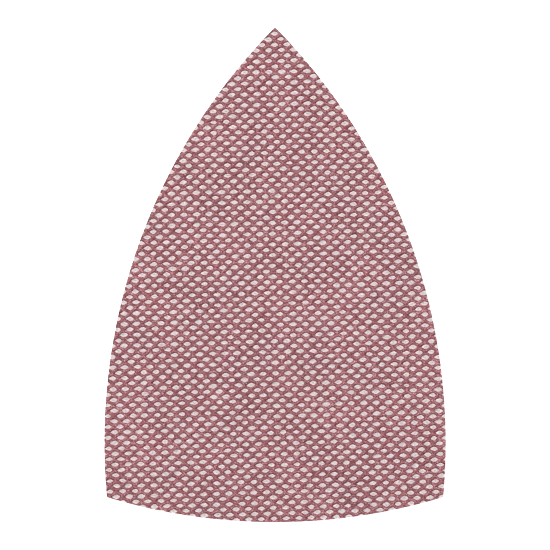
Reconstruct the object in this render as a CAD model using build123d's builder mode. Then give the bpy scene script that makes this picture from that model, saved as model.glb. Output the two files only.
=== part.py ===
"""Net abrasive sheet for a detail (mouse) sander.

A knitted net, die-cut to the three-sided shape of a detail sander's pad, with abrasive grain bonded to its
front and a pile of small loops on its back, which the pad's hooks hold. The sheet lies flat: the loops rest
on Z = 0, the grain faces +Z, and the tip points along +Y. Lengths are in millimetres.
"""
from build123d import *
from math import cos, pi, radians, sin, sqrt
import os

# Outline: three arcs, with a square tip that reaches into corners
WIDTH = 105.0
LENGTH = 152.0
SIDE_RADIUS = 182.0
BASE_RADIUS = 178.0
TIP_FILLET = 0.6
CORNER_FILLET = 1.5

# The knit: wales run nearly along X, side by side along Y, and neighbours meet at every second bend
CELL_PITCH = 3.855
WALE_PITCH = 1.656
WALE_TURN = 1.9
ROW_LEAN = 1.2
NET_SHIFT = (-0.53, -0.44)

# Eye-shaped openings between the wales, as the coat leaves them
EYE_LENGTH = 2.15
EYE_HEIGHT = 1.35
NODE_GAP = 0.10
YARN_INSET = 0.08

# Inlay yarns weave from wale to wale across the nodes, behind the chain yarns
INLAY_WIDTH = 0.14
INLAY_SWING = 0.93

# Thickness of each layer, from the back to the front
PILE_HEIGHT = 0.50
INLAY_HEIGHT = 0.15
YARN_HEIGHT = 0.35
RESIN_HEIGHT = 0.10
GRAIN_HEIGHT = 0.25

PILE_TOP = PILE_HEIGHT
INLAY_TOP = PILE_TOP + INLAY_HEIGHT
YARN_TOP = INLAY_TOP + YARN_HEIGHT
RESIN_TOP = YARN_TOP + RESIN_HEIGHT
SHEET_TOP = RESIN_TOP + GRAIN_HEIGHT

# Places worked out from the driving dimensions
SIDE_CENTRE_X = SIDE_RADIUS - WIDTH / 2
TIP_RISE = sqrt(SIDE_RADIUS**2 - SIDE_CENTRE_X**2)
TIP_LOSS = TIP_FILLET * (SIDE_RADIUS / TIP_RISE - 1)
WIDEST_Y = LENGTH / 2 + TIP_LOSS - TIP_RISE
BASE_CENTRE_Y = BASE_RADIUS - LENGTH / 2

ALONG = Vector(cos(radians(WALE_TURN)), sin(radians(WALE_TURN)))
ACROSS = Vector(-sin(radians(WALE_TURN)), cos(radians(WALE_TURN)))
ROW_STEP = Vector(-sin(radians(ROW_LEAN)), cos(radians(ROW_LEAN))) * WALE_PITCH
NET_ORIGIN = Vector(*NET_SHIFT)
HALF_ROWS = int(LENGTH / 2 / WALE_PITCH) + 3
RUN_CELLS = 4
EDGE_MARGIN = 0.5
SMALLEST_PIECE = 0.25


def sheet_outline():
    """The die-cut shape, with its tip at the top and its corners slightly rounded."""
    with BuildSketch() as outline:
        with Locations((-SIDE_CENTRE_X, WIDEST_Y)):
            Circle(SIDE_RADIUS)
        with Locations((SIDE_CENTRE_X, WIDEST_Y)):
            Circle(SIDE_RADIUS, mode=Mode.INTERSECT)
        with Locations((0, BASE_CENTRE_Y)):
            Circle(BASE_RADIUS, mode=Mode.INTERSECT)
        fillet(outline.vertices().sort_by(Axis.Y)[-1], TIP_FILLET)
        fillet(outline.vertices().sort_by(Axis.Y)[:2], CORNER_FILLET)
    return outline.sketch


def row_origin(row):
    """The middle of a row of openings. Every second row is shifted by half a cell."""
    return NET_ORIGIN + ROW_STEP * row + ALONG * (row % 2 * CELL_PITCH / 2)


def rows_on_sheet(lowest, highest):
    """The rows whose middle lies between two heights on the sheet."""
    return [row for row in range(-HALF_ROWS, HALF_ROWS + 1) if lowest < row_origin(row).Y < highest]


def row_span(row):
    """The first and last cell that the sheet needs in a row, from the outline's width at that height."""
    y = max(-LENGTH / 2, min(LENGTH / 2, row_origin(row).Y))
    reach = sqrt(max(SIDE_RADIUS**2 - (y - WIDEST_Y) ** 2, 0)) - SIDE_CENTRE_X
    cells = int(max(reach, 0) / CELL_PITCH) + 2
    return -cells, cells


def in_runs(points, length):
    """A long row of points as shorter runs, each starting where the one before ends."""
    return [points[start : start + length + 1] for start in range(0, len(points) - 1, length)]


def eye_edge(row, span, side, inset):
    """The wavy edge of a row of openings: out round each opening, and in to the node between two."""
    tall, end, quarter = EYE_HEIGHT / 2, EYE_LENGTH / 2, EYE_LENGTH / 4
    wave = [
        (-CELL_PITCH / 2, NODE_GAP / 2),
        (-end, NODE_GAP / 2),
        (-quarter, 0.72 * tall),
        (0, tall),
        (quarter, 0.72 * tall),
        (end, NODE_GAP / 2),
    ]
    steps = [(cell * CELL_PITCH + along, away) for cell in range(span[0], span[1] + 1) for along, away in wave]
    steps.append(((span[1] + 0.5) * CELL_PITCH, NODE_GAP / 2))
    points = [row_origin(row) + ALONG * along + ACROSS * side * (away + inset) for along, away in steps]
    return in_runs(points, RUN_CELLS * len(wave))


def inlay_edge(row, span, side):
    """One edge of an inlay yarn: below one opening, through the node, above the next."""
    points = []
    for step in range(span[0] * 4, span[1] * 4 + 1):
        along = step * CELL_PITCH / 4
        swing = INLAY_SWING * cos(pi * along / CELL_PITCH)
        points.append(row_origin(row) + ALONG * along + ACROSS * (swing + side * INLAY_WIDTH / 2))
    return in_runs(points, RUN_CELLS * 4)


def cut_strip(lower, upper, outline):
    """A strip between two wavy edges, die-cut to the outline. Crumbs at its ends are dropped."""
    with BuildSketch() as strip:
        with BuildLine():
            for run in lower + upper:
                Spline(*run)
            Line(lower[0][0], upper[0][0])
            Line(lower[-1][-1], upper[-1][-1])
        make_face()
        add(outline, mode=Mode.INTERSECT)
    return [face for face in strip.faces() if face.area > SMALLEST_PIECE]


def wale_strips(outline, inset):
    """One strip for each wale, between two neighbouring rows of openings."""
    strips = []
    for row in rows_on_sheet(-LENGTH / 2 - WALE_PITCH + EDGE_MARGIN, LENGTH / 2 - EDGE_MARGIN):
        below, above = row_span(row), row_span(row + 1)
        span = (min(below[0], above[0]), max(below[1], above[1]))
        lower = eye_edge(row, span, 1, inset)
        upper = eye_edge(row + 1, span, -1, inset)
        strips += cut_strip(lower, upper, outline)
    return strips


def inlay_strips(outline):
    """One inlay yarn for each row of openings."""
    strips = []
    for row in rows_on_sheet(-LENGTH / 2, LENGTH / 2 - INLAY_SWING):
        span = row_span(row)
        strips += cut_strip(inlay_edge(row, span, -1), inlay_edge(row, span, 1), outline)
    return strips


def layer(faces, bottom, height, label):
    """Separate flat solids, one for each face, grouped under one label. They touch nowhere, so none are fused."""
    solids = []
    for face in faces:
        with BuildPart() as piece:
            with BuildSketch(Plane.XY.offset(bottom)):
                add(face)
            extrude(amount=height)
        solids.append(piece.part.solid())
    return Compound(solids, label=label)


outline = sheet_outline()
coat_strips = wale_strips(outline, 0)
yarn_strips = wale_strips(outline, YARN_INSET)
inlays = inlay_strips(outline)

loop_pile = layer([outline.face()], 0, PILE_HEIGHT, "loop_pile")
inlay_yarns = layer(inlays, PILE_TOP, INLAY_HEIGHT, "inlay_yarns")
chain_yarns = layer(yarn_strips, INLAY_TOP, YARN_HEIGHT, "chain_yarns")
resin_coat = layer(coat_strips, YARN_TOP, RESIN_HEIGHT, "resin_coat")
grain_coat = layer(coat_strips, RESIN_TOP, GRAIN_HEIGHT, "grain_coat")

os.makedirs("parts", exist_ok=True)
for node in (loop_pile, inlay_yarns, chain_yarns, resin_coat, grain_coat):
    export_step(node, f"parts/{node.label}.step", write_pcurves=False)
    print(node.label, len(node.solids()))
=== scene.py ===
from math import pi, radians

import bpy
import numpy as np

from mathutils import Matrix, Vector


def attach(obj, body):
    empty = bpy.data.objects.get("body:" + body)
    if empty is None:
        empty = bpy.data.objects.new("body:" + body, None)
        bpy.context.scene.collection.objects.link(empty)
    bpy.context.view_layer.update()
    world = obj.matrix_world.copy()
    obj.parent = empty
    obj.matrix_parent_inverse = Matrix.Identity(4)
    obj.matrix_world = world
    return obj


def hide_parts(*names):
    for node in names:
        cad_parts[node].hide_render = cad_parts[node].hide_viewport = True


MM = 0.001

# The sheet's outline and knit, in millimetres, as the CAD model has them
WIDTH, LENGTH = 105.0, 152.0
SIDE_RADIUS, BASE_RADIUS = 182.0, 178.0
TIP_FILLET = 0.6
SIDE_CENTRE_X = SIDE_RADIUS - WIDTH / 2
TIP_RISE = (SIDE_RADIUS**2 - SIDE_CENTRE_X**2) ** 0.5
WIDEST_Y = LENGTH / 2 + TIP_FILLET * (SIDE_RADIUS / TIP_RISE - 1) - TIP_RISE
TIP_CENTRE = (0.0, LENGTH / 2 - TIP_FILLET)
ARCS = (
    ((SIDE_CENTRE_X, WIDEST_Y), SIDE_RADIUS),
    ((-SIDE_CENTRE_X, WIDEST_Y), SIDE_RADIUS),
    ((0.0, BASE_RADIUS - LENGTH / 2), BASE_RADIUS),
)
CELL_PITCH, WALE_PITCH = 3.855, 1.656
INLAY_SWING = 0.93
WALE_TURN, ROW_LEAN = radians(1.9), radians(1.2)
NET_SHIFT = np.array([-0.53, -0.44])
ALONG = np.array([np.cos(WALE_TURN), np.sin(WALE_TURN)])
ACROSS = np.array([-np.sin(WALE_TURN), np.cos(WALE_TURN)])
ROW_STEP = np.array([-np.sin(ROW_LEAN), np.cos(ROW_LEAN)]) * WALE_PITCH
ROWS = range(-50, 51)
CELLS_EACH_WAY = 17
CELL_REACH = 2.6

# The eye-shaped openings: half length, half height, how round, and how far they lean to the right
EYE_A, EYE_B, EYE_POWER = 1.26, 0.780, 1.28
TOP_SHIFT, FOOT_SHIFT = 0.10, 0.13
LEFT_STRETCH = 1.07

# The coat's crevices, from an opening's middle. The stitches lock in a pit at its left; a groove runs from
# there past its upper left rim, and a fainter seam from its top to the right. Lines are start, run, width.
# Each crevice sinks the coat there and also darkens its colour as painted shade.
PIT, PIT_SIZE = (-1.50, 0.05), (0.24, 0.19)
GROOVE, GROOVE_DEPTH = ((-1.40, 0.12), (1.20, 0.84), 0.12), 0.75
SEAM, SEAM_DEPTH = ((0.25, 0.95), (1.05, -0.75), 0.10), 0.32
CREVICE_DEPTH = 0.17

# Heights and radii of the parts; the shoulder is how far from a rim the net is still rounding over
NET_BACK, NET_WAIST, CREST, HIGHEST_GRAIN = 0.50, 0.86, 1.25, 1.345
INLAY_HEIGHT, LOOP_TOP, LOWEST = 0.46, 0.49, 0.004
INLAY_RADIUS, LONG_LOOP_RADIUS, SHORT_LOOP_RADIUS = 0.075, 0.045, 0.048
SHOULDER = 0.30

# Rings of the net, from an opening's rim (0) to its cell's border (1)
COAT_RINGS = (0.0, 0.0, 0.16, 0.38, 0.66, 1.0)
GROUND_RINGS = (0.0, 0.35, 1.0)
COAT_PIECES = 5

# The tuft in each opening: size, height and how far its colour is greyed as painted shade in its dip, from
# the strands that hold it down to its middle
TUFT = np.array([(1.08, 0.64, 0.0), (0.90, 0.80, 0.12), (0.48, 0.82, 0.75), (0.02, 0.72, 1.0)])
MAT_STEP = 0.50

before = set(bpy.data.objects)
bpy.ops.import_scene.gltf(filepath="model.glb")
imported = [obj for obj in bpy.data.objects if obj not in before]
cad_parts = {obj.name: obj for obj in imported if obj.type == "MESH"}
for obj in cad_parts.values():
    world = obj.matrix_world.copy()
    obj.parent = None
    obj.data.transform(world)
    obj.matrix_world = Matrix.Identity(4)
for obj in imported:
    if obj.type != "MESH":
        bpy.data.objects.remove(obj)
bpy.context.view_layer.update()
rng = np.random.default_rng(41)
collection = bpy.context.collection


# ---------------------------------------------------------------- the outline
def distance(plan, centre):
    return np.hypot(plan[..., 0] - centre[0], plan[..., 1] - centre[1])


def at_tip(plan):
    """Whether the rounded tip is the part of the outline nearest to a point."""
    beyond = plan[..., 1] - TIP_CENTRE[1]
    return np.abs(plan[..., 0]) * (TIP_CENTRE[1] - WIDEST_Y) < beyond * SIDE_CENTRE_X


def inside(plan):
    """How far points are inside the outline, in millimetres; negative outside."""
    depth = np.minimum.reduce([radius - distance(plan, centre) for centre, radius in ARCS])
    return np.where(at_tip(plan), np.minimum(depth, TIP_FILLET - distance(plan, TIP_CENTRE)), depth)


def to_outline(plan):
    """Points moved onto the outline: onto its nearest arc each time, and last onto its rounded tip."""
    for _ in range(4):
        for centre, radius in ARCS:
            d = distance(plan, centre)
            near = (np.abs(radius - d) <= np.abs(inside(plan)) + 1e-9) | (d > radius)
            plan = centre + (plan - centre) * np.where(near, radius / d, 1.0)[:, None]
    reach = np.where(at_tip(plan), TIP_FILLET / np.maximum(distance(plan, TIP_CENTRE), 1e-6), 1.0)
    return TIP_CENTRE + (plan - TIP_CENTRE) * reach[:, None]


def cut(plan, quads):
    """Quads with their middle inside the outline. Points on the cut move onto it, and are marked."""
    kept = inside(plan[quads].mean(1)) > 0
    inner, outer = np.zeros(len(plan), bool), np.zeros(len(plan), bool)
    inner[quads[kept].ravel()] = True
    outer[quads[~kept].ravel()] = True
    on_cut = inner & (outer | (inside(plan) < 0))
    plan = plan.copy()
    plan[on_cut] = to_outline(plan[on_cut])
    return plan, quads[kept], on_cut


# ---------------------------------------------------------------- meshes
def compact(points, quads, *others):
    """Points, and values at them, without the ones that no quad uses."""
    used, back = np.unique(quads, return_inverse=True)
    return points[used], back.reshape(quads.shape), [o[used] for o in others]


def open_edges(quads):
    """The edges that only one quad has."""
    pairs = np.concatenate([quads[:, [0, 1]], quads[:, [1, 2]], quads[:, [2, 3]], quads[:, [3, 0]]])
    _, first, uses = np.unique(np.sort(pairs, 1), axis=0, return_index=True, return_counts=True)
    return pairs[first[uses == 1]]


def wall(edges, offset):
    """Quads from each edge to the same points' copies, which are that far on in the list."""
    return np.stack([edges[:, 1], edges[:, 0], edges[:, 0] + offset, edges[:, 1] + offset], 1)


def mesh_object(name, points, quads, finish, attributes=None, layout=None):
    """A smooth mesh from millimetre points and quads, with float point values and a planar bake layout."""
    mesh = bpy.data.meshes.new(name)
    mesh.vertices.add(len(points))
    mesh.vertices.foreach_set("co", (points * MM).astype(np.float32).ravel())
    mesh.loops.add(quads.size)
    mesh.loops.foreach_set("vertex_index", quads.astype(np.int32).ravel())
    mesh.polygons.add(len(quads))
    mesh.polygons.foreach_set("loop_start", np.arange(0, quads.size, 4, dtype=np.int32))
    mesh.update(calc_edges=True)
    mesh.polygons.foreach_set("use_smooth", np.full(len(quads), True))
    for key, values in (attributes or {}).items():
        mesh.attributes.new(key, "FLOAT", "POINT").data.foreach_set("value", values.astype(np.float32))
    flat = points[:, :2] if layout is None else layout
    low, high = flat.min(0), flat.max(0)
    flat = 0.01 + 0.98 * (flat - low) / (high - low).max()
    uv = mesh.uv_layers.new(name="OFBake")
    uv.data.foreach_set("uv", flat[quads.ravel()].astype(np.float32).ravel())
    mesh.validate()
    mesh.materials.append(finish)
    obj = bpy.data.objects.new(name, mesh)
    collection.objects.link(obj)
    return obj


def tubes(paths, radius, sides=4):
    """Points and quads of tubes along paths (count, steps, 3). The radius may be a number or (count, 1)."""
    count, steps, _ = paths.shape
    tangent = np.gradient(paths, axis=1)
    tangent /= np.linalg.norm(tangent, axis=2, keepdims=True) + 1e-9
    side = np.cross(tangent, (0.31, 0.87, 0.38))
    side /= np.linalg.norm(side, axis=2, keepdims=True) + 1e-9
    up = np.cross(side, tangent)
    r = np.broadcast_to(np.asarray(radius, float), (count, steps))[..., None]
    ring = []
    for k in range(sides):
        turn = 2 * pi * k / sides
        ring.append(paths + r * (np.cos(turn) * side + np.sin(turn) * up))
    ids = np.arange(count * steps * sides).reshape(count, steps, sides)
    a, b = ids[:, :-1], ids[:, 1:]
    quads = np.stack([a, np.roll(a, -1, 2), np.roll(b, -1, 2), b], axis=-1)
    return np.stack(ring, axis=2).reshape(-1, 3), quads.reshape(-1, 4)


# ---------------------------------------------------------------- the knit
def value_noise(plan, size, seed):
    """Smooth noise from -1 to 1, with that feature size in millimetres."""
    grid = np.random.default_rng(seed).uniform(-1, 1, (256, 256))
    u, v = plan[:, 0] / size + 91.3, plan[:, 1] / size + 57.7
    i, j = np.floor(u).astype(int), np.floor(v).astype(int)
    fu, fv = u - i, v - j
    fu, fv = fu * fu * (3 - 2 * fu), fv * fv * (3 - 2 * fv)

    def corner(a, b):
        return grid[a % 256, b % 256]

    low = corner(i, j) * (1 - fu) + corner(i + 1, j) * fu
    high = corner(i, j + 1) * (1 - fu) + corner(i + 1, j + 1) * fu
    return low * (1 - fv) + high * fv


def warp(plan):
    """The knit isn't quite regular: it leans more towards the base and wanders a little everywhere."""
    lean = np.where(plan[:, 1] < 0, 0.53, -0.13) * (np.abs(plan[:, 1]) / 76) ** 3
    dx = lean + 0.13 * value_noise(plan, 19, 3) + 0.05 * value_noise(plan, 6.5, 4)
    dy = 0.09 * value_noise(plan, 23, 5) + 0.035 * value_noise(plan, 5.5, 6)
    return plan + np.stack([dx, dy], -1)


def row_start(row):
    """The middle of a row's first opening; every second row is half a cell further on."""
    return NET_SHIFT + ROW_STEP * row + ALONG * (row % 2 * CELL_PITCH / 2)


def find_cells():
    """The row and the middle of every opening on or near the sheet."""
    cells = []
    for row in ROWS:
        for cell in range(-CELLS_EACH_WAY, CELLS_EACH_WAY + 1):
            centre = row_start(row) + ALONG * cell * CELL_PITCH
            if inside(centre) > -CELL_REACH:
                cells.append((row, *centre))
    cells = np.array(cells)
    return cells[:, 0], cells[:, 1:]


cell_rows, centres = find_cells()
count = len(centres)
# every second row of openings is a little larger
larger = np.where(cell_rows % 2 == 0, 1.0, -1.0)
eye_a = EYE_A * (1 + 0.050 * larger + 0.06 * rng.standard_normal(count))
eye_b = EYE_B * (1 + 0.030 * larger + 0.08 * rng.standard_normal(count))
eye_turn = radians(3.5) * rng.standard_normal(count)
eye_shift = np.clip(rng.standard_normal((count, 2)), -2, 2) * (0.11, 0.045)


def knit_place(plan):
    """Places in the knit: millimetres along the wales, and rows."""
    return (plan - NET_SHIFT) @ np.linalg.inv(np.stack([ALONG, ROW_STEP], 1)).T


def rim(phi, a, b):
    """A point of an opening's rim: a lens with pointed ends, longer to the left, and leaning."""
    c, s = np.cos(phi), np.sin(phi)
    x = a * np.sign(c) * np.abs(c) ** (2 / EYE_POWER)
    y = b * np.sign(s) * np.abs(s) ** (2 / EYE_POWER)
    x = x * np.where(x < 0, LEFT_STRETCH, 1)
    return x + np.where(y > 0, TOP_SHIFT, -FOOT_SHIFT) * y / b, y


def net_points(top_steps, side_steps, rings):
    """Every cell as rings from its opening's rim to its border, which neighbouring cells share.

    rings lists how far out each ring is. Returns the points, the quads and each point's ring."""
    w, h = CELL_PITCH / 2, WALE_PITCH / 2
    top = [(-w + 2 * w * k / top_steps, h) for k in range(top_steps)]
    right = [(w, h - 2 * h * k / side_steps) for k in range(side_steps)]
    bottom = [(w - 2 * w * k / top_steps, -h) for k in range(top_steps)]
    left = [(-w, -h + 2 * h * k / side_steps) for k in range(side_steps)]
    border = np.array(top + right + bottom + left)
    phi = np.arctan2(border[:, 1] / h * 0.92, border[:, 0] / w)
    n = len(border)
    rx, ry = rim(phi[None, :], eye_a[:, None], eye_b[:, None])
    c, s = np.cos(eye_turn)[:, None], np.sin(eye_turn)[:, None]
    rx, ry = rx * c - ry * s + eye_shift[:, :1], rx * s + ry * c + eye_shift[:, 1:]
    wobble = 0.095 * rng.standard_normal((count, n))
    wobble = 1 + (wobble + np.roll(wobble, 1, 1)) * 0.6
    rx, ry = rx * wobble, ry * wobble
    # the rows lean against the wales, so the border is sheared to meet its neighbours
    lean = ROW_STEP - ACROSS * WALE_PITCH
    layers = []
    for share in rings:
        x, y = rx * (1 - share) + border[:, 0] * share, ry * (1 - share) + border[:, 1] * share
        place = ALONG * x[..., None] + ACROSS * y[..., None] + lean * (share * y / WALE_PITCH)[..., None]
        layers.append(centres[:, None] + place)
    ids = np.arange(count * len(rings) * n).reshape(count, len(rings), n)
    a, b = ids[:, :-1], ids[:, 1:]
    quads = np.stack([a, b, np.roll(b, -1, 2), np.roll(a, -1, 2)], -1).reshape(-1, 4)
    ring_of = np.broadcast_to(np.arange(len(rings))[None, :, None], ids.shape).ravel()
    return np.stack(layers, 1).reshape(-1, 2), quads, ring_of


def merged(points, quads, border):
    """Quads in which the border points that neighbouring cells share are one point."""
    key = np.round(points * 400).astype(np.int64)
    key = key[:, 0] * 1000003 + key[:, 1]
    own = np.arange(len(points))
    _, first, back = np.unique(key[border], return_index=True, return_inverse=True)
    own[border] = own[border][first][back]
    return own[quads]


def soft_line(u, v, start, run, width):
    """1 on the line from start along run, and falling to 0 beside it."""
    du, dv = u - start[0], v - start[1]
    share = np.clip((du * run[0] + dv * run[1]) / (run[0] ** 2 + run[1] ** 2), 0, 1)
    return np.exp(-((np.hypot(du - run[0] * share, dv - run[1] * share) / width) ** 2))


def rim_distance(plan):
    """How far points are outside the nearest rim, in millimetres, and how deep in a crevice, 0 to 1."""
    p = plan - NET_SHIFT
    place = knit_place(plan)
    nearest = np.full(len(plan), 9.0)
    crevice = np.zeros(len(plan))
    for next_row in (-1, 0, 1):
        row = np.round(place[:, 1]) + next_row
        half = (row % 2) * 0.5
        for next_cell in (0, 1):
            cx = (np.floor(place[:, 0] / CELL_PITCH - half) + next_cell + half) * CELL_PITCH
            d = p - ALONG * cx[:, None] - ROW_STEP * row[:, None]
            u, v = d @ ALONG, d @ ACROSS
            u = u - np.where(v > 0, TOP_SHIFT, -FOOT_SHIFT) * v / EYE_B
            u = u / np.where(u < 0, LEFT_STRETCH, 1)
            lens = np.abs(u / EYE_A) ** EYE_POWER + np.abs(v / EYE_B) ** EYE_POWER
            lens = lens ** (1 / EYE_POWER)
            nearest = np.minimum(nearest, (lens - 1) * np.hypot(u, v) / np.maximum(lens, 1e-6))
            pit = np.exp(-(((u - PIT[0]) / PIT_SIZE[0]) ** 2) - ((v - PIT[1]) / PIT_SIZE[1]) ** 2)
            groove = GROOVE_DEPTH * soft_line(u, v, *GROOVE)
            seam = SEAM_DEPTH * soft_line(u, v, *SEAM)
            crevice = np.maximum.reduce([crevice, pit, groove, seam])
    return np.maximum(nearest, 0), crevice


# ---------------------------------------------------------------- materials
def material(name):
    m = bpy.data.materials.new(name)
    m.use_nodes = True
    return m, m.node_tree.nodes, m.node_tree.links, m.node_tree.nodes["Principled BSDF"]


def ramp(nodes, links, source, stops):
    """The colour of a ramp at the source's value."""
    node = nodes.new("ShaderNodeValToRGB")
    while len(node.color_ramp.elements) < len(stops):
        node.color_ramp.elements.new(0.5)
    for element, (place, colour) in zip(node.color_ramp.elements, stops):
        element.position = place
        element.color = (*colour, 1)
    links.new(source, node.inputs["Fac"])
    return node.outputs["Color"]


def grey(value):
    return (value, value, value)


def noise(nodes, links, vector, scale, detail):
    node = nodes.new("ShaderNodeTexNoise")
    node.inputs["Scale"].default_value = scale
    node.inputs["Detail"].default_value = detail
    links.new(vector, node.inputs["Vector"])
    return node.outputs["Fac"]


def multiplied(nodes, links, colour):
    """A mix node that multiplies a colour. Its B socket is the other colour."""
    node = nodes.new("ShaderNodeMix")
    node.data_type = "RGBA"
    node.blend_type = "MULTIPLY"
    node.inputs["Factor"].default_value = 1
    links.new(colour, node.inputs["A"])
    return node


def point_value(nodes, name):
    node = nodes.new("ShaderNodeAttribute")
    node.attribute_name = name
    return node.outputs["Fac"]


def add_bump(nodes, links, bsdf, height, strength, depth):
    bump = nodes.new("ShaderNodeBump")
    bump.inputs["Strength"].default_value = strength
    bump.inputs["Distance"].default_value = depth
    links.new(height, bump.inputs["Height"])
    links.new(bump.outputs["Normal"], bsdf.inputs["Normal"])


def coat_material():
    """Resin and grit: maroon darkened by painted shade in the hollows, mauve lightened by painted light on
    the crests, each grain its own tone with a painted glint, gloss and dome.
    """
    m, nodes, links, bsdf = material("abrasive_coat")
    vector = nodes.new("ShaderNodeTexCoord").outputs["Object"]
    grains = nodes.new("ShaderNodeTexVoronoi")
    grains.inputs["Scale"].default_value = 4300
    links.new(vector, grains.inputs["Vector"])
    fine = noise(nodes, links, vector, 2100, 3)
    broad = noise(nodes, links, vector, 60, 2)
    depth = nodes.new("ShaderNodeMath")
    depth.operation = "MULTIPLY_ADD"
    links.new(fine, depth.inputs[0])
    depth.inputs[1].default_value = 0.72
    # The point value adds the coat's grain tone to painted light on the crests and painted shade in the
    # crevices and at the rims.
    links.new(point_value(nodes, "tone_and_painted_light"), depth.inputs[2])
    tones = [
        (0.28, (0.050, 0.005, 0.010)),
        (0.52, (0.134, 0.026, 0.034)),
        (0.80, (0.230, 0.080, 0.091)),
        (1.00, (0.385, 0.200, 0.216)),
    ]
    # Each grain's random tone, lifted on some grains well above the coat's colour as a painted glint.
    grain_tone_and_painted_glints = [(0.0, (0.56, 0.47, 0.48)), (0.5, grey(1)), (1.0, (1.75, 1.76, 1.78))]
    patches = [(0.3, (0.91, 0.90, 0.90)), (0.7, (1.12, 1.11, 1.11))]
    grainy = multiplied(nodes, links, ramp(nodes, links, depth.outputs[0], tones))
    links.new(ramp(nodes, links, grains.outputs["Color"], grain_tone_and_painted_glints), grainy.inputs["B"])
    patchy = multiplied(nodes, links, grainy.outputs["Result"])
    links.new(ramp(nodes, links, broad, patches), patchy.inputs["B"])
    links.new(patchy.outputs["Result"], bsdf.inputs["Base Color"])
    rough = ramp(nodes, links, grains.outputs["Color"], [(0.0, grey(0.42)), (0.6, grey(0.78))])
    links.new(rough, bsdf.inputs["Roughness"])
    add_bump(nodes, links, bsdf, grains.outputs["Distance"], 1.0, 0.00013)
    bsdf.inputs["Specular IOR Level"].default_value = 0.45
    return m


def yarn_material(name, dark, light, scale, sheen):
    """Spun yarn: fine fibres along it, thin shadows between them, and a soft sheen."""
    m, nodes, links, bsdf = material(name)
    stretch = nodes.new("ShaderNodeMapping")
    stretch.inputs["Scale"].default_value = (0.35, 1, 1)
    links.new(nodes.new("ShaderNodeTexCoord").outputs["Object"], stretch.inputs["Vector"])
    fibre = noise(nodes, links, stretch.outputs["Vector"], scale, 4)
    # Towards a tuft's middle the colour is greyed and darkened, as painted shade in its dip.
    deep = multiplied(nodes, links, ramp(nodes, links, fibre, [(0.25, dark), (0.7, light)]))
    deep.inputs["B"].default_value = (0.53, 0.63, 0.615, 1)
    links.new(point_value(nodes, "painted_hollow_shade"), deep.inputs["Factor"])
    links.new(deep.outputs["Result"], bsdf.inputs["Base Color"])
    rough = ramp(nodes, links, fibre, [(0.2, grey(0.75)), (0.8, grey(0.92))])
    links.new(rough, bsdf.inputs["Roughness"])
    add_bump(nodes, links, bsdf, fibre, 0.6, 0.00004)
    bsdf.inputs["Sheen Weight"].default_value = sheen
    bsdf.inputs["Sheen Roughness"].default_value = 0.4
    return m


coat = coat_material()
ground_yarn = yarn_material("ground_yarn", (0.42, 0.27, 0.27), (0.72, 0.58, 0.57), 2400, 0.25)
inlay_yarn = yarn_material("inlay_yarn", (0.60, 0.50, 0.49), (0.84, 0.78, 0.76), 3000, 0.3)
pile_yarn = yarn_material("pile_yarn", (0.54, 0.41, 0.425), (0.91, 0.735, 0.752), 2600, 0.0)


# ---------------------------------------------------------------- the coated front
def thread_ridges(flat):
    """The chain stitches' threads under the coat: ridges along each strand, -1 to 1."""
    along, row = knit_place(flat).T
    rise = np.sin(2 * pi * (along / CELL_PITCH - 0.5 * row)) * np.cos(pi * row)
    upward = np.clip(0.5 + 0.9 * rise, 0, 1)
    x, y, spacing = along * 0.62, row * WALE_PITCH * 0.80, 0.52
    return np.cos(2 * pi * (x - y) / spacing) * upward + np.cos(2 * pi * (x + y) / spacing) * (1 - upward)


def coat_surface():
    """The net's front: rounded strands with ridges, grains and crevices, and how pale each point is: grain
    tone, with painted light on crests and ridges and painted shade in crevices and at the rims.
    """
    flat, quads, ring_of = net_points(16, 6, COAT_RINGS)
    quads = merged(flat, quads, ring_of == len(COAT_RINGS) - 1)
    at_rim = ring_of == 0
    near, crevice = rim_distance(flat)
    shoulder = np.clip(near / SHOULDER, 0, 1)
    plan = warp(flat)
    ridge = thread_ridges(flat)
    grain = rng.standard_normal(len(flat))
    bumps = 0.03 * ridge + np.clip(0.045 * grain, -0.09, 0.09) + 0.05 * value_noise(plan, 0.7, 12)
    z = NET_WAIST + (CREST - NET_WAIST) * np.sqrt(1 - (1 - shoulder) ** 2)
    z = np.clip(z + shoulder * (bumps - CREVICE_DEPTH * crevice), NET_WAIST - 0.1, HIGHEST_GRAIN)
    z[at_rim] = NET_BACK + 0.08
    height = (z - NET_WAIST) / (CREST - NET_WAIST)
    # How pale: paler on crests and ridges as painted light, darker in crevices as painted shade; grain and
    # noise are the coat's own tone.
    tone_and_painted_light = 0.285 + 0.13 * height + 0.04 * ridge + 0.12 * grain - 0.24 * crevice
    tone_and_painted_light = np.clip(tone_and_painted_light + 0.08 * value_noise(plan, 0.8, 13), 0, 0.85)
    # The rim ring, down at the opening's wall, is darkened as painted shade.
    tone_and_painted_light[at_rim] = 0.20
    spread = np.where(at_rim, 0.0, 0.018)
    plan[:, 0] += spread * rng.standard_normal(len(plan))
    plan[:, 1] += spread * rng.standard_normal(len(plan))
    plan, quads, on_cut = cut(plan, quads)
    return np.column_stack([plan, z]), quads, on_cut, tone_and_painted_light


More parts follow.
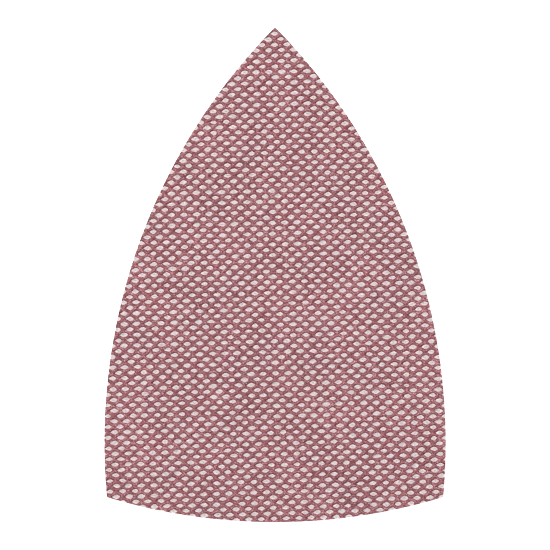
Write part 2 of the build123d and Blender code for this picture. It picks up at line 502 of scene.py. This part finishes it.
def make_coats():
    """The coated front in a few pieces, with a wall down from each edge that the die cut."""
    points, quads, on_cut, tone_and_painted_light = coat_surface()
    edges = open_edges(quads)
    edges = edges[on_cut[edges].all(1)]
    lower = points.copy()
    lower[:, 2] = NET_BACK + 0.02
    quads = np.vstack([quads, wall(edges, len(points))])
    # The walls' lower edge is darker, as painted shade at the foot of the cut.
    tone_and_painted_light = np.concatenate([tone_and_painted_light, np.full(len(points), 0.25)])
    points = np.vstack([points, lower])
    middle_y = points[quads][:, :, 1].mean(1)
    cuts = np.quantile(middle_y, np.linspace(0, 1, COAT_PIECES + 1))
    pieces = []
    for k in range(COAT_PIECES):
        chosen = (middle_y >= cuts[k]) & ((middle_y < cuts[k + 1]) | (k == COAT_PIECES - 1))
        p, q, (s,) = compact(points, quads[chosen], tone_and_painted_light)
        pieces.append(mesh_object(f"coated_front_{k + 1}", p, q, coat, {"tone_and_painted_light": s}))
    return pieces


# ---------------------------------------------------------------- the knitted ground and its inlay yarns
def make_ground():
    """The net's uncoated back, and its area in square metres."""
    flat, quads, ring_of = net_points(8, 3, GROUND_RINGS)
    quads = merged(flat, quads, ring_of == len(GROUND_RINGS) - 1)[:, ::-1]
    belly = np.clip(rim_distance(flat)[0] / SHOULDER, 0, 1)
    rough = 0.015 * rng.standard_normal(len(flat))
    z = np.clip(NET_BACK + 0.14 - 0.13 * np.sqrt(1 - (1 - belly) ** 2) + rough, 0.47, 0.72)
    plan, quads, _ = cut(warp(flat), quads)
    points, quads, _ = compact(np.column_stack([plan, z]), quads)
    corner = points[quads]
    d1, d2 = corner[:, 2] - corner[:, 0], corner[:, 3] - corner[:, 1]
    area = float(np.abs(d1[:, 0] * d2[:, 1] - d1[:, 1] * d2[:, 0]).sum() / 2) * MM * MM
    return mesh_object("knitted_ground", points, quads, ground_yarn), area


def make_inlays():
    """One thread behind each row of openings, weaving from wale to wale, cut at the outline."""
    s = np.arange(-60, 60.01, 0.38)
    point_parts, quad_parts, total = [], [], 0
    for row in ROWS:
        swing = INLAY_SWING * np.cos(pi * s / CELL_PITCH)
        plan = warp(row_start(row) + ALONG * s[:, None] + ACROSS * swing[:, None])
        line = np.column_stack([plan, INLAY_HEIGHT + 0.05 * np.cos(2 * pi * s / CELL_PITCH)])
        keep = inside(plan) > 0.1
        for run in np.split(np.arange(len(s)), np.flatnonzero(np.diff(keep.astype(int))) + 1):
            if keep[run[0]] and len(run) > 5:
                points, quads = tubes(line[run][None], INLAY_RADIUS, 5)
                point_parts.append(points)
                quad_parts.append(quads + total)
                total += len(points)
    return mesh_object("inlay_threads", np.vstack(point_parts), np.vstack(quad_parts), inlay_yarn)


# ---------------------------------------------------------------- the loop pile
def make_mat():
    """The pile's dense part: a thin uneven mat under the net."""
    reach_x, reach_y = WIDTH / 2 + 1, LENGTH / 2 + 1
    gx, gy = np.meshgrid(np.arange(-reach_x, reach_x, MAT_STEP), np.arange(-reach_y, reach_y, MAT_STEP))
    ids = np.arange(gx.size).reshape(gx.shape)
    quads = np.stack([ids[:-1, :-1], ids[:-1, 1:], ids[1:, 1:], ids[1:, :-1]], -1).reshape(-1, 4)
    plan = np.stack([gx.ravel(), gy.ravel()], -1)
    plan[:, 0] += 0.09 * rng.standard_normal(len(plan))
    plan[:, 1] += 0.09 * rng.standard_normal(len(plan))
    plan, quads, _ = cut(plan, quads)
    plan, quads, _ = compact(plan, quads)
    lumps = value_noise(plan, 0.8, 21) + 0.6 * rng.standard_normal(len(plan))
    upper = np.column_stack([plan, np.clip(0.42 + 0.03 * lumps, 0.36, 0.47)])
    lumps = value_noise(plan, 0.9, 22) + 0.7 * rng.standard_normal(len(plan))
    lower = np.column_stack([plan, np.clip(0.27 - 0.04 * lumps, 0.18, 0.33)])
    n = len(plan)
    points = np.vstack([upper, lower])
    quads = np.vstack([quads, quads[:, ::-1] + n, wall(open_edges(quads), n)])
    side_by_side = np.vstack([plan, plan + (WIDTH + 6, 0)])
    return mesh_object("loop_pile_mat", points, quads, pile_yarn, layout=side_by_side)


def make_tufts():
    """The pile swells up into each opening, between the strands that hold it down."""
    flat, _, _ = net_points(6, 2, (0.0,))
    flat = flat.reshape(count, 1, 16, 2)
    middle = (centres + eye_shift @ np.stack([ALONG, ACROSS]))[:, None, None, :]
    plan = np.concatenate([middle + (flat - middle) * size for size, _, _ in TUFT], 1).reshape(-1, 2)
    ids = np.arange(count * len(TUFT) * 16).reshape(count, len(TUFT), 16)
    a, b = ids[:, :-1], ids[:, 1:]
    quads = np.stack([b, a, np.roll(a, -1, 2), np.roll(b, -1, 2)], -1).reshape(-1, 4)
    # The last column greys the tuft's middle as painted shade.
    size, height, painted_hollow_shade = TUFT.T[:, None, :, None]
    z = height + 0.04 * size * rng.standard_normal(ids.shape)
    painted_hollow_shade = np.broadcast_to(painted_hollow_shade, ids.shape).ravel()
    plan, quads, _ = cut(warp(plan), quads)
    points, quads, (painted_hollow_shade,) = compact(np.column_stack([plan, z.ravel()]), quads, painted_hollow_shade)
    return mesh_object("loop_tufts", points, quads, pile_yarn, {"painted_hollow_shade": painted_hollow_shade})


def arcs(spread, turn, reach, bend, foot_z, rise):
    """Curved lines at random places near the openings, which rise from their feet, or hang from them."""
    n = len(turn)
    feet = warp(np.repeat(centres, n // count, 0) + np.clip(rng.normal(0, 1, (n, 2)), -1.6, 1.6) * spread)
    kept = (inside(feet) > 0.9) & (rng.random(n) < 0.9)
    t = np.linspace(-0.5, 0.5, 6)
    u, v = t * reach[:, None], bend[:, None] * (0.25 - t**2) * 4
    c, s = np.cos(turn)[:, None], np.sin(turn)[:, None]
    z = foot_z[:, None] + rise[:, None] * np.cos(pi * t)
    return np.stack([feet[:, :1] + c * u - s * v, feet[:, 1:] + s * u + c * v, z], -1)[kept]


def above_floor(points):
    points[:, 2] = np.maximum(points[:, 2], LOWEST)
    return points


def make_front_loops():
    """Loops of the pile that show in the openings, three in each."""
    n = 3 * count
    turn, reach, bend = rng.normal(0.35, 0.75, n), rng.uniform(0.45, 0.85, n), rng.normal(0, 0.10, n)
    foot_z, rise = rng.uniform(0.70, 0.76, n), rng.uniform(0.12, 0.22, n)
    lines = arcs((0.52, 0.26), turn, reach, bend, foot_z, rise)
    points, quads = tubes(lines, rng.uniform(0.050, 0.080, (len(lines), 1)))
    return mesh_object("front_loops", points, quads, pile_yarn)


def make_fibres():
    """Stray fibres that lie across the openings, two to each."""
    n = 2 * count
    turn, reach, bend = rng.uniform(0, pi, n), rng.uniform(0.5, 1.2, n), rng.normal(0, 0.22, n)
    lines = arcs((0.55, 0.28), turn, reach, bend, rng.uniform(0.86, 0.96, n), np.full(n, 0.05))
    points, quads = tubes(lines, rng.uniform(0.014, 0.028, (len(lines), 1)))
    return mesh_object("stray_fibres", points, quads, pile_yarn)


def make_long_loops():
    """The back's long loops: one from the stitch at each opening's left, and one from the strand above it."""
    place = np.where(np.tile([0, 1], count)[:, None] == 0, (-1.55, 0.02), (-0.35, 0.93))
    place = place + rng.standard_normal((2 * count, 2)) * (0.22, 0.10)
    feet = warp(np.repeat(centres, 2, 0) + place[:, :1] * ALONG + place[:, 1:] * ACROSS)
    feet = feet[(inside(feet) > 0.75) & (rng.random(len(feet)) < 0.85)]
    n = len(feet)
    turn = rng.normal(0.2, 0.75, n) + pi * rng.integers(0, 2, n)
    reach, drop = rng.uniform(0.30, 0.62, n), rng.uniform(0.40, 0.50, n)
    lean_x, lean_y = rng.normal(0, 0.16, n), rng.normal(0, 0.16, n)
    t = np.linspace(0, 1, 9)
    swell = np.sin(pi * t)
    u = (t - 0.5) * reach[:, None] - 0.10 * np.sin(2 * pi * t)
    x = feet[:, :1] + np.cos(turn)[:, None] * u + lean_x[:, None] * swell
    y = feet[:, 1:] + np.sin(turn)[:, None] * u + lean_y[:, None] * swell
    z = LOOP_TOP - drop[:, None] * swell**0.7
    points, quads = tubes(np.stack([x, y, z], -1), LONG_LOOP_RADIUS)
    return mesh_object("loop_pile_loops", above_floor(points), quads, pile_yarn)


def make_short_loops():
    """Smaller loops between the long ones, so that the back is covered."""
    n = 3 * count
    turn, reach, bend = rng.normal(0.2, 0.8, n), rng.uniform(0.35, 0.65, n), rng.normal(0, 0.12, n)
    foot_z, rise = rng.uniform(0.34, 0.38, n), rng.uniform(-0.28, -0.20, n)
    points, quads = tubes(arcs((1.1, 0.5), turn, reach, bend, foot_z, rise), SHORT_LOOP_RADIUS)
    return mesh_object("short_loops", above_floor(points), quads, pile_yarn)


# ---------------------------------------------------------------- the pieces, in the order of their draws
coats = make_coats()
ground, ground_area = make_ground()
inlays = make_inlays()
mat = make_mat()
tufts = make_tufts()
front_loops = make_front_loops()
fibres = make_fibres()
loops = make_long_loops()
short_loops = make_short_loops()

# ---------------------------------------------------------------- every piece under the root body, and the CAD parts hidden
for piece in coats:
    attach(piece, "root")
pile = (mat, tufts, front_loops, loops, short_loops, fibres)
yarns = ((ground, "ground_yarn"), (inlays, "ground_yarn"), *((piece, "pile_yarn") for piece in pile))
for piece, name in yarns:
    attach(piece, "root")
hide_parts("grain_coat", "resin_coat")
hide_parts("chain_yarns")
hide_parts("inlay_yarns")
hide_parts("loop_pile")


# ---------------------------------------------------------------- floor, light and camera
def make_floor(side=1.6):
    mesh = bpy.data.meshes.new("floor")
    corners = [(-side, -side, 0), (side, -side, 0), (side, side, 0), (-side, side, 0)]
    mesh.from_pydata(corners, [], [(0, 1, 2, 3)])
    floor = bpy.data.objects.new("floor", mesh)
    collection.objects.link(floor)
    floor.location.z = -0.0001
    m, _, _, bsdf = material("pale_floor")
    bsdf.inputs["Base Color"].default_value = (0.93, 0.93, 0.93, 1)
    bsdf.inputs["Roughness"].default_value = 0.9
    bsdf.inputs["Specular IOR Level"].default_value = 0.1
    bsdf.inputs["Emission Color"].default_value = (1, 1, 1, 1)
    bsdf.inputs["Emission Strength"].default_value = 0.20
    mesh.materials.append(m)


def area_light(name, place, size, power):
    data = bpy.data.lights.new(name, "AREA")
    data.shape = "DISK"
    data.size = size
    data.energy = power
    lamp = bpy.data.objects.new(name, data)
    collection.objects.link(lamp)
    lamp.location = place
    lamp.rotation_euler = Vector([-c for c in place]).to_track_quat("-Z", "Y").to_euler()


def make_camera(height=1.2, view_width=0.1692):
    """A camera straight above the sheet, whose picture is view_width across at the sheet's front."""
    data = bpy.data.cameras.new("camera")
    camera = bpy.data.objects.new("camera", data)
    collection.objects.link(camera)
    data.sensor_width = 36
    data.lens = 36 * (height - 0.0012) / view_width
    data.clip_start = 0.01
    camera.location = (0.0, 0.0, height)
    bpy.context.scene.camera = camera


make_floor()
world = bpy.data.worlds.new("studio")
bpy.context.scene.world = world
world.use_nodes = True
world.node_tree.nodes["Background"].inputs["Color"].default_value = (1, 1, 1, 1)
world.node_tree.nodes["Background"].inputs["Strength"].default_value = 0.92
area_light("key", (-0.50, 0.55, 0.85), 0.75, 10.5)
area_light("fill", (0.7, -0.4, 0.9), 0.9, 4.0)
make_camera()
bpy.context.scene.view_settings.view_transform = "Standard"
bpy.context.scene.cycles.filter_width = 1.15
